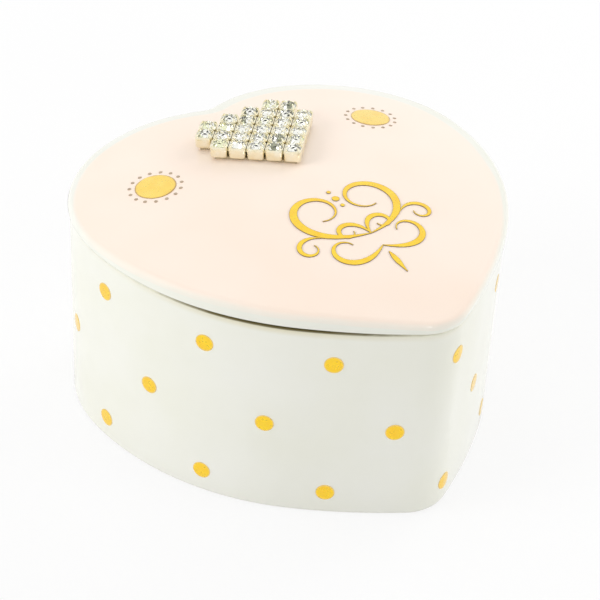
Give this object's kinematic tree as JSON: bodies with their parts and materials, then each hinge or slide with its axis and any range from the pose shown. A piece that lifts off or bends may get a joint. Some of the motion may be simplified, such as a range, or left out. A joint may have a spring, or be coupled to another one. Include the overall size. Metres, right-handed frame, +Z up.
{
  "type": "keepsake box",
  "caption": "Heart-shaped glazed ceramic keepsake box with a domed lift-off lid, gold spots and scrollwork, and a small heart of cut stones in metal cups on the lid.",
  "frame": {"origin": "under the middle of the heart's length and width, on the face that the box stands on", "axes": "+Z up through the lid, -Y towards the tip of the heart, +Y towards the cleft, +X to the right lobe when the tip is nearest"},
  "size_m": [0.0808, 0.0802, 0.0516],
  "materials": {
    "glazed_body": "gloss",
    "glazed_lid": "gloss",
    "fired_gold": "polished",
    "cup_metal": "polished",
    "cut_glass": "polished",
    "clear_glue": "gloss"
  },
  "bodies": {
    "base": {"box_body": "glazed_body", "side_spots_lower": "fired_gold", "side_spots_middle": "fired_gold", "side_spots_upper": "fired_gold"},
    "lid": {"lid": "glazed_lid", "left_gold_disc": "fired_gold", "right_gold_disc": "fired_gold", "left_bead_ring": "fired_gold", "right_bead_ring": "fired_gold", "gold_scrollwork": "fired_gold", "stone_heart_glue_bed": "clear_glue", "cup_row_1": "cup_metal", "cup_row_2": "cup_metal", "cup_row_3": "cup_metal", "cup_row_4": "cup_metal", "cup_row_5": "cup_metal", "cup_row_6": "cup_metal", "stone_row_1": "cut_glass", "stone_row_2": "cut_glass", "stone_row_3": "cut_glass", "stone_row_4": "cut_glass", "stone_row_5": "cut_glass", "stone_row_6": "cut_glass"}
  },
  "joints": [
    {"name": "lid_lift", "type": "slide", "parent": "base", "child": "lid", "axis": [0, 0, 1], "range_m": [0, 0.06]}
  ]
}
